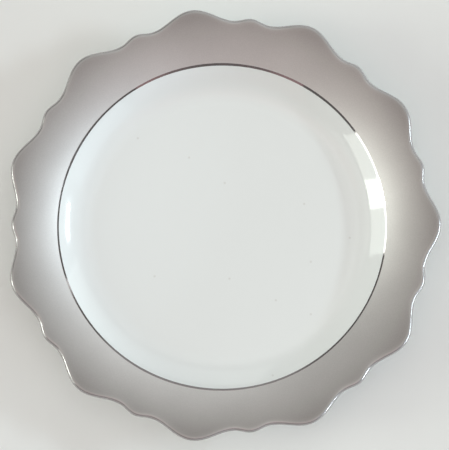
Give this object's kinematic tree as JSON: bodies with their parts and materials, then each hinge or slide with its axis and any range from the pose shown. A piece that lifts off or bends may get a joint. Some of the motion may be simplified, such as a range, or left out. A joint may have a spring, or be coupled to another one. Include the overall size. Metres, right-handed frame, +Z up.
{
  "type": "bread and butter plate",
  "caption": "Small round plate with a scalloped rim in satin grey lustre, a white gloss well, a fine metal line round the well and a foot ring to stand on.",
  "frame": {"origin": "on the plate's axis, on the table plane under the foot ring", "axes": "+Z up along the plate's axis; the outline's mirror line is the diagonal between +X and +Y, with a large lobe at 225 degrees"},
  "size_m": [0.163, 0.163, 0.0195],
  "materials": {
    "clay": "matte, unglazed, ground flat on the foot",
    "white_glaze": "gloss",
    "lustre_glaze": "satin metallic lustre",
    "platinum": "bright metal lustre"
  },
  "bodies": {
    "root": {"china_body": "clay", "well_glaze": "white_glaze", "verge_line": "platinum", "rim_glaze": "lustre_glaze", "underside_glaze": "white_glaze", "base_glaze": "white_glaze"}
  },
  "joints": []
}
